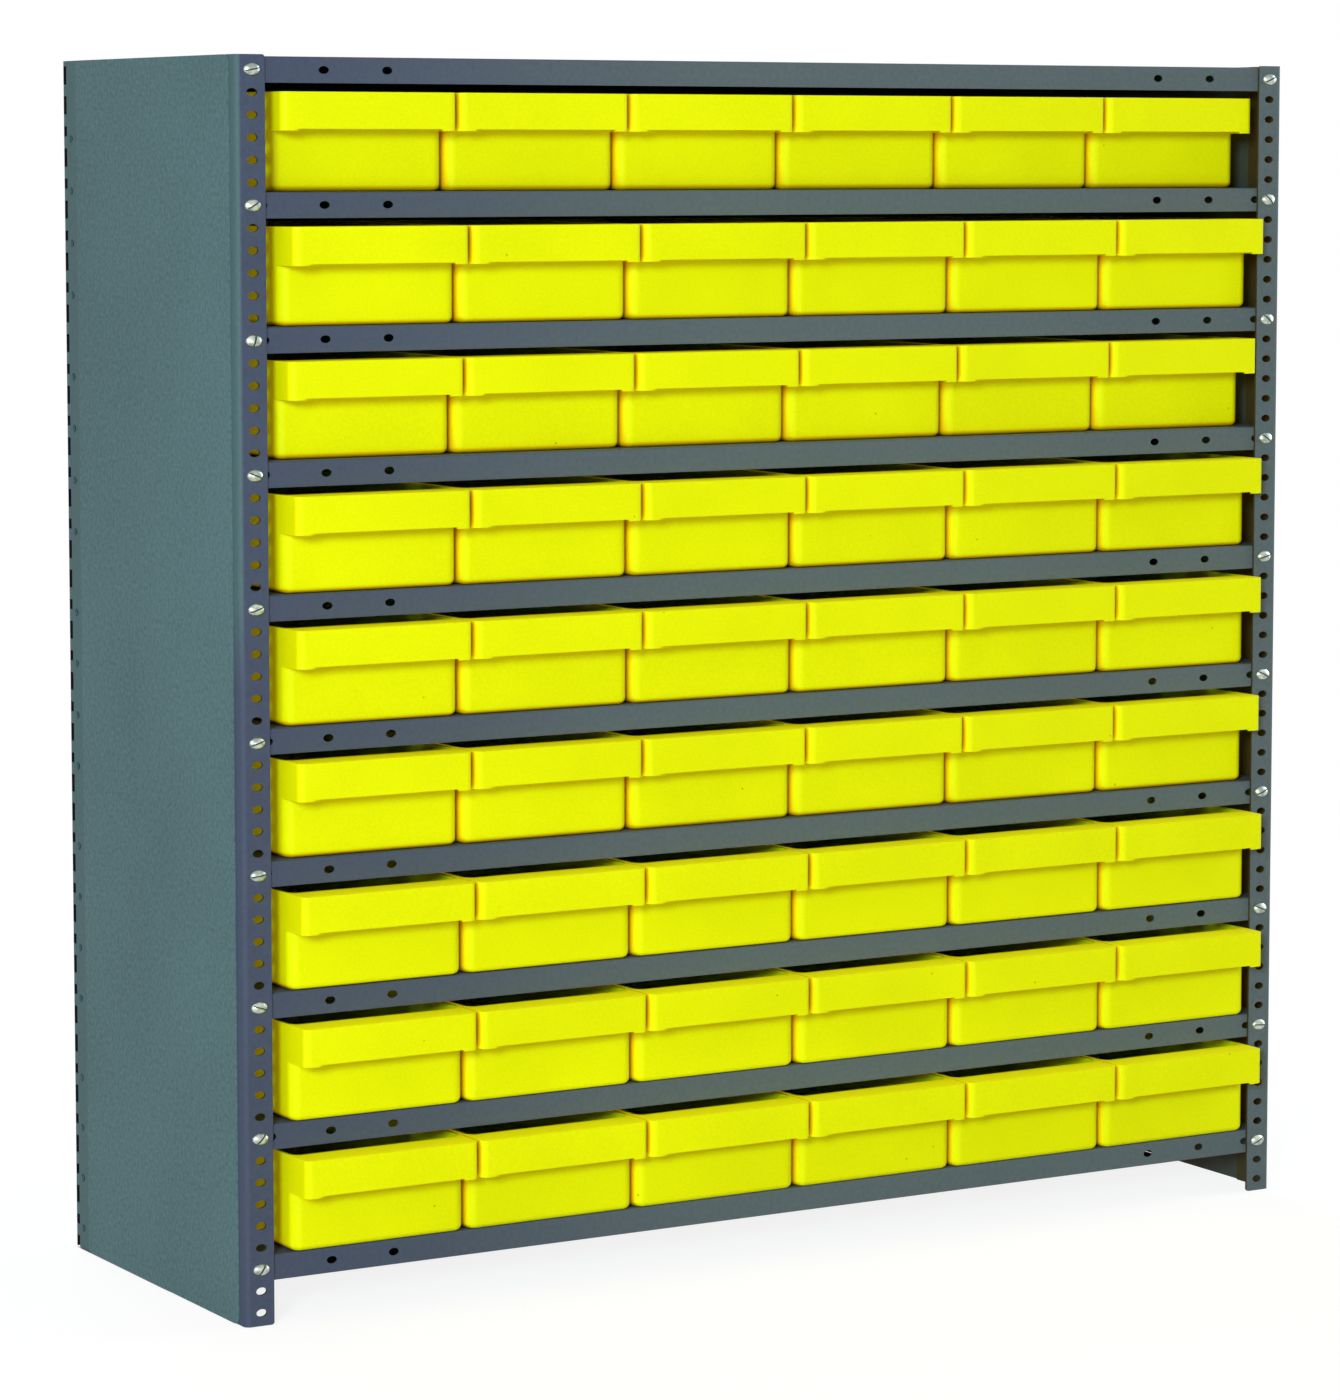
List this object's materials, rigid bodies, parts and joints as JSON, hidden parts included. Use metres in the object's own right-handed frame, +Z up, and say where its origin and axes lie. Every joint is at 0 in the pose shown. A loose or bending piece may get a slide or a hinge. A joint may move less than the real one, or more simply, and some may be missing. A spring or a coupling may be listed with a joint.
{
  "type": "closed shelving unit with drawers",
  "caption": "Closed steel shelving unit with punched corner posts, bolted shelves and rows of plastic drawers that slide out by a pull lip.",
  "frame": {"origin": "middle of the footprint, on the floor", "axes": "+Z up, the drawers face -Y, +X to the right as seen from the front"},
  "size_m": [0.9144, 0.3312, 0.902],
  "materials": {
    "frame_paint": "satin",
    "panel_paint": "satin",
    "zinc": "bright zinc plate",
    "drawer_plastic": "moulded, semi-gloss"
  },
  "bodies": {
    "frame": {"front_posts": "frame_paint", "rear_posts": "frame_paint", "side_panels": "panel_paint", "back_panel": "panel_paint", "shelves": "frame_paint", "bolts": "zinc"},
    "drawer_row1_col1": {"drawer_row1_col1": "drawer_plastic"},
    "drawer_row1_col2": {"drawer_row1_col2": "drawer_plastic"},
    "drawer_row1_col3": {"drawer_row1_col3": "drawer_plastic"},
    "drawer_row1_col4": {"drawer_row1_col4": "drawer_plastic"},
    "drawer_row1_col5": {"drawer_row1_col5": "drawer_plastic"},
    "drawer_row1_col6": {"drawer_row1_col6": "drawer_plastic"},
    "drawer_row2_col1": {"drawer_row2_col1": "drawer_plastic"},
    "drawer_row2_col2": {"drawer_row2_col2": "drawer_plastic"},
    "drawer_row2_col3": {"drawer_row2_col3": "drawer_plastic"},
    "drawer_row2_col4": {"drawer_row2_col4": "drawer_plastic"},
    "drawer_row2_col5": {"drawer_row2_col5": "drawer_plastic"},
    "drawer_row2_col6": {"drawer_row2_col6": "drawer_plastic"},
    "drawer_row3_col1": {"drawer_row3_col1": "drawer_plastic"},
    "drawer_row3_col2": {"drawer_row3_col2": "drawer_plastic"},
    "drawer_row3_col3": {"drawer_row3_col3": "drawer_plastic"},
    "drawer_row3_col4": {"drawer_row3_col4": "drawer_plastic"},
    "drawer_row3_col5": {"drawer_row3_col5": "drawer_plastic"},
    "drawer_row3_col6": {"drawer_row3_col6": "drawer_plastic"},
    "drawer_row4_col1": {"drawer_row4_col1": "drawer_plastic"},
    "drawer_row4_col2": {"drawer_row4_col2": "drawer_plastic"},
    "drawer_row4_col3": {"drawer_row4_col3": "drawer_plastic"},
    "drawer_row4_col4": {"drawer_row4_col4": "drawer_plastic"},
    "drawer_row4_col5": {"drawer_row4_col5": "drawer_plastic"},
    "drawer_row4_col6": {"drawer_row4_col6": "drawer_plastic"},
    "drawer_row5_col1": {"drawer_row5_col1": "drawer_plastic"},
    "drawer_row5_col2": {"drawer_row5_col2": "drawer_plastic"},
    "drawer_row5_col3": {"drawer_row5_col3": "drawer_plastic"},
    "drawer_row5_col4": {"drawer_row5_col4": "drawer_plastic"},
    "drawer_row5_col5": {"drawer_row5_col5": "drawer_plastic"},
    "drawer_row5_col6": {"drawer_row5_col6": "drawer_plastic"},
    "drawer_row6_col1": {"drawer_row6_col1": "drawer_plastic"},
    "drawer_row6_col2": {"drawer_row6_col2": "drawer_plastic"},
    "drawer_row6_col3": {"drawer_row6_col3": "drawer_plastic"},
    "drawer_row6_col4": {"drawer_row6_col4": "drawer_plastic"},
    "drawer_row6_col5": {"drawer_row6_col5": "drawer_plastic"},
    "drawer_row6_col6": {"drawer_row6_col6": "drawer_plastic"},
    "drawer_row7_col1": {"drawer_row7_col1": "drawer_plastic"},
    "drawer_row7_col2": {"drawer_row7_col2": "drawer_plastic"},
    "drawer_row7_col3": {"drawer_row7_col3": "drawer_plastic"},
    "drawer_row7_col4": {"drawer_row7_col4": "drawer_plastic"},
    "drawer_row7_col5": {"drawer_row7_col5": "drawer_plastic"},
    "drawer_row7_col6": {"drawer_row7_col6": "drawer_plastic"},
    "drawer_row8_col1": {"drawer_row8_col1": "drawer_plastic"},
    "drawer_row8_col2": {"drawer_row8_col2": "drawer_plastic"},
    "drawer_row8_col3": {"drawer_row8_col3": "drawer_plastic"},
    "drawer_row8_col4": {"drawer_row8_col4": "drawer_plastic"},
    "drawer_row8_col5": {"drawer_row8_col5": "drawer_plastic"},
    "drawer_row8_col6": {"drawer_row8_col6": "drawer_plastic"},
    "drawer_row9_col1": {"drawer_row9_col1": "drawer_plastic"},
    "drawer_row9_col2": {"drawer_row9_col2": "drawer_plastic"},
    "drawer_row9_col3": {"drawer_row9_col3": "drawer_plastic"},
    "drawer_row9_col4": {"drawer_row9_col4": "drawer_plastic"},
    "drawer_row9_col5": {"drawer_row9_col5": "drawer_plastic"},
    "drawer_row9_col6": {"drawer_row9_col6": "drawer_plastic"}
  },
  "joints": [
    {"name": "drawer_row1_col1_slide", "type": "slide", "parent": "frame", "child": "drawer_row1_col1", "axis": [0, -1, 0], "range_m": [-0.0035, 0.2798]},
    {"name": "drawer_row1_col2_slide", "type": "slide", "parent": "frame", "child": "drawer_row1_col2", "axis": [0, -1, 0], "range_m": [-0.0035, 0.2798]},
    {"name": "drawer_row1_col3_slide", "type": "slide", "parent": "frame", "child": "drawer_row1_col3", "axis": [0, -1, 0], "range_m": [-0.0035, 0.2798]},
    {"name": "drawer_row1_col4_slide", "type": "slide", "parent": "frame", "child": "drawer_row1_col4", "axis": [0, -1, 0], "range_m": [-0.0035, 0.2798]},
    {"name": "drawer_row1_col5_slide", "type": "slide", "parent": "frame", "child": "drawer_row1_col5", "axis": [0, -1, 0], "range_m": [-0.0035, 0.2798]},
    {"name": "drawer_row1_col6_slide", "type": "slide", "parent": "frame", "child": "drawer_row1_col6", "axis": [0, -1, 0], "range_m": [-0.0035, 0.2798]},
    {"name": "drawer_row2_col1_slide", "type": "slide", "parent": "frame", "child": "drawer_row2_col1", "axis": [0, -1, 0], "range_m": [-0.02213, 0.26117]},
    {"name": "drawer_row2_col2_slide", "type": "slide", "parent": "frame", "child": "drawer_row2_col2", "axis": [0, -1, 0], "range_m": [-0.02213, 0.26117]},
    {"name": "drawer_row2_col3_slide", "type": "slide", "parent": "frame", "child": "drawer_row2_col3", "axis": [0, -1, 0], "range_m": [-0.02213, 0.26117]},
    {"name": "drawer_row2_col4_slide", "type": "slide", "parent": "frame", "child": "drawer_row2_col4", "axis": [0, -1, 0], "range_m": [-0.02213, 0.26117]},
    {"name": "drawer_row2_col5_slide", "type": "slide", "parent": "frame", "child": "drawer_row2_col5", "axis": [0, -1, 0], "range_m": [-0.02213, 0.26117]},
    {"name": "drawer_row2_col6_slide", "type": "slide", "parent": "frame", "child": "drawer_row2_col6", "axis": [0, -1, 0], "range_m": [-0.02213, 0.26117]},
    {"name": "drawer_row3_col1_slide", "type": "slide", "parent": "frame", "child": "drawer_row3_col1", "axis": [0, -1, 0], "range_m": [-0.01349, 0.26981]},
    {"name": "drawer_row3_col2_slide", "type": "slide", "parent": "frame", "child": "drawer_row3_col2", "axis": [0, -1, 0], "range_m": [-0.01349, 0.26981]},
    {"name": "drawer_row3_col3_slide", "type": "slide", "parent": "frame", "child": "drawer_row3_col3", "axis": [0, -1, 0], "range_m": [-0.01349, 0.26981]},
    {"name": "drawer_row3_col4_slide", "type": "slide", "parent": "frame", "child": "drawer_row3_col4", "axis": [0, -1, 0], "range_m": [-0.01349, 0.26981]},
    {"name": "drawer_row3_col5_slide", "type": "slide", "parent": "frame", "child": "drawer_row3_col5", "axis": [0, -1, 0], "range_m": [-0.01349, 0.26981]},
    {"name": "drawer_row3_col6_slide", "type": "slide", "parent": "frame", "child": "drawer_row3_col6", "axis": [0, -1, 0], "range_m": [-0.01349, 0.26981]},
    {"name": "drawer_row4_col1_slide", "type": "slide", "parent": "frame", "child": "drawer_row4_col1", "axis": [0, -1, 0], "range_m": [-0.02348, 0.25982]},
    {"name": "drawer_row4_col2_slide", "type": "slide", "parent": "frame", "child": "drawer_row4_col2", "axis": [0, -1, 0], "range_m": [-0.02348, 0.25982]},
    {"name": "drawer_row4_col3_slide", "type": "slide", "parent": "frame", "child": "drawer_row4_col3", "axis": [0, -1, 0], "range_m": [-0.02348, 0.25982]},
    {"name": "drawer_row4_col4_slide", "type": "slide", "parent": "frame", "child": "drawer_row4_col4", "axis": [0, -1, 0], "range_m": [-0.02348, 0.25982]},
    {"name": "drawer_row4_col5_slide", "type": "slide", "parent": "frame", "child": "drawer_row4_col5", "axis": [0, -1, 0], "range_m": [-0.02348, 0.25982]},
    {"name": "drawer_row4_col6_slide", "type": "slide", "parent": "frame", "child": "drawer_row4_col6", "axis": [0, -1, 0], "range_m": [-0.02348, 0.25982]},
    {"name": "drawer_row5_col1_slide", "type": "slide", "parent": "frame", "child": "drawer_row5_col1", "axis": [0, -1, 0], "range_m": [-0.02456, 0.25874]},
    {"name": "drawer_row5_col2_slide", "type": "slide", "parent": "frame", "child": "drawer_row5_col2", "axis": [0, -1, 0], "range_m": [-0.02456, 0.25874]},
    {"name": "drawer_row5_col3_slide", "type": "slide", "parent": "frame", "child": "drawer_row5_col3", "axis": [0, -1, 0], "range_m": [-0.02456, 0.25874]},
    {"name": "drawer_row5_col4_slide", "type": "slide", "parent": "frame", "child": "drawer_row5_col4", "axis": [0, -1, 0], "range_m": [-0.02456, 0.25874]},
    {"name": "drawer_row5_col5_slide", "type": "slide", "parent": "frame", "child": "drawer_row5_col5", "axis": [0, -1, 0], "range_m": [-0.02456, 0.25874]},
    {"name": "drawer_row5_col6_slide", "type": "slide", "parent": "frame", "child": "drawer_row5_col6", "axis": [0, -1, 0], "range_m": [-0.02456, 0.25874]},
    {"name": "drawer_row6_col1_slide", "type": "slide", "parent": "frame", "child": "drawer_row6_col1", "axis": [0, -1, 0], "range_m": [-0.02348, 0.25982]},
    {"name": "drawer_row6_col2_slide", "type": "slide", "parent": "frame", "child": "drawer_row6_col2", "axis": [0, -1, 0], "range_m": [-0.02348, 0.25982]},
    {"name": "drawer_row6_col3_slide", "type": "slide", "parent": "frame", "child": "drawer_row6_col3", "axis": [0, -1, 0], "range_m": [-0.02348, 0.25982]},
    {"name": "drawer_row6_col4_slide", "type": "slide", "parent": "frame", "child": "drawer_row6_col4", "axis": [0, -1, 0], "range_m": [-0.02348, 0.25982]},
    {"name": "drawer_row6_col5_slide", "type": "slide", "parent": "frame", "child": "drawer_row6_col5", "axis": [0, -1, 0], "range_m": [-0.02348, 0.25982]},
    {"name": "drawer_row6_col6_slide", "type": "slide", "parent": "frame", "child": "drawer_row6_col6", "axis": [0, -1, 0], "range_m": [-0.02348, 0.25982]},
    {"name": "drawer_row7_col1_slide", "type": "slide", "parent": "frame", "child": "drawer_row7_col1", "axis": [0, -1, 0], "range_m": [-0.02861, 0.25469]},
    {"name": "drawer_row7_col2_slide", "type": "slide", "parent": "frame", "child": "drawer_row7_col2", "axis": [0, -1, 0], "range_m": [-0.02861, 0.25469]},
    {"name": "drawer_row7_col3_slide", "type": "slide", "parent": "frame", "child": "drawer_row7_col3", "axis": [0, -1, 0], "range_m": [-0.02861, 0.25469]},
    {"name": "drawer_row7_col4_slide", "type": "slide", "parent": "frame", "child": "drawer_row7_col4", "axis": [0, -1, 0], "range_m": [-0.02861, 0.25469]},
    {"name": "drawer_row7_col5_slide", "type": "slide", "parent": "frame", "child": "drawer_row7_col5", "axis": [0, -1, 0], "range_m": [-0.02861, 0.25469]},
    {"name": "drawer_row7_col6_slide", "type": "slide", "parent": "frame", "child": "drawer_row7_col6", "axis": [0, -1, 0], "range_m": [-0.02861, 0.25469]},
    {"name": "drawer_row8_col1_slide", "type": "slide", "parent": "frame", "child": "drawer_row8_col1", "axis": [0, -1, 0], "range_m": [-0.02996, 0.25334]},
    {"name": "drawer_row8_col2_slide", "type": "slide", "parent": "frame", "child": "drawer_row8_col2", "axis": [0, -1, 0], "range_m": [-0.02996, 0.25334]},
    {"name": "drawer_row8_col3_slide", "type": "slide", "parent": "frame", "child": "drawer_row8_col3", "axis": [0, -1, 0], "range_m": [-0.02996, 0.25334]},
    {"name": "drawer_row8_col4_slide", "type": "slide", "parent": "frame", "child": "drawer_row8_col4", "axis": [0, -1, 0], "range_m": [-0.02996, 0.25334]},
    {"name": "drawer_row8_col5_slide", "type": "slide", "parent": "frame", "child": "drawer_row8_col5", "axis": [0, -1, 0], "range_m": [-0.02996, 0.25334]},
    {"name": "drawer_row8_col6_slide", "type": "slide", "parent": "frame", "child": "drawer_row8_col6", "axis": [0, -1, 0], "range_m": [-0.02996, 0.25334]},
    {"name": "drawer_row9_col1_slide", "type": "slide", "parent": "frame", "child": "drawer_row9_col1", "axis": [0, -1, 0], "range_m": [-0.0305, 0.2528]},
    {"name": "drawer_row9_col2_slide", "type": "slide", "parent": "frame", "child": "drawer_row9_col2", "axis": [0, -1, 0], "range_m": [-0.0305, 0.2528]},
    {"name": "drawer_row9_col3_slide", "type": "slide", "parent": "frame", "child": "drawer_row9_col3", "axis": [0, -1, 0], "range_m": [-0.0305, 0.2528]},
    {"name": "drawer_row9_col4_slide", "type": "slide", "parent": "frame", "child": "drawer_row9_col4", "axis": [0, -1, 0], "range_m": [-0.0305, 0.2528]},
    {"name": "drawer_row9_col5_slide", "type": "slide", "parent": "frame", "child": "drawer_row9_col5", "axis": [0, -1, 0], "range_m": [-0.0305, 0.2528]},
    {"name": "drawer_row9_col6_slide", "type": "slide", "parent": "frame", "child": "drawer_row9_col6", "axis": [0, -1, 0], "range_m": [-0.0305, 0.2528]}
  ]
}
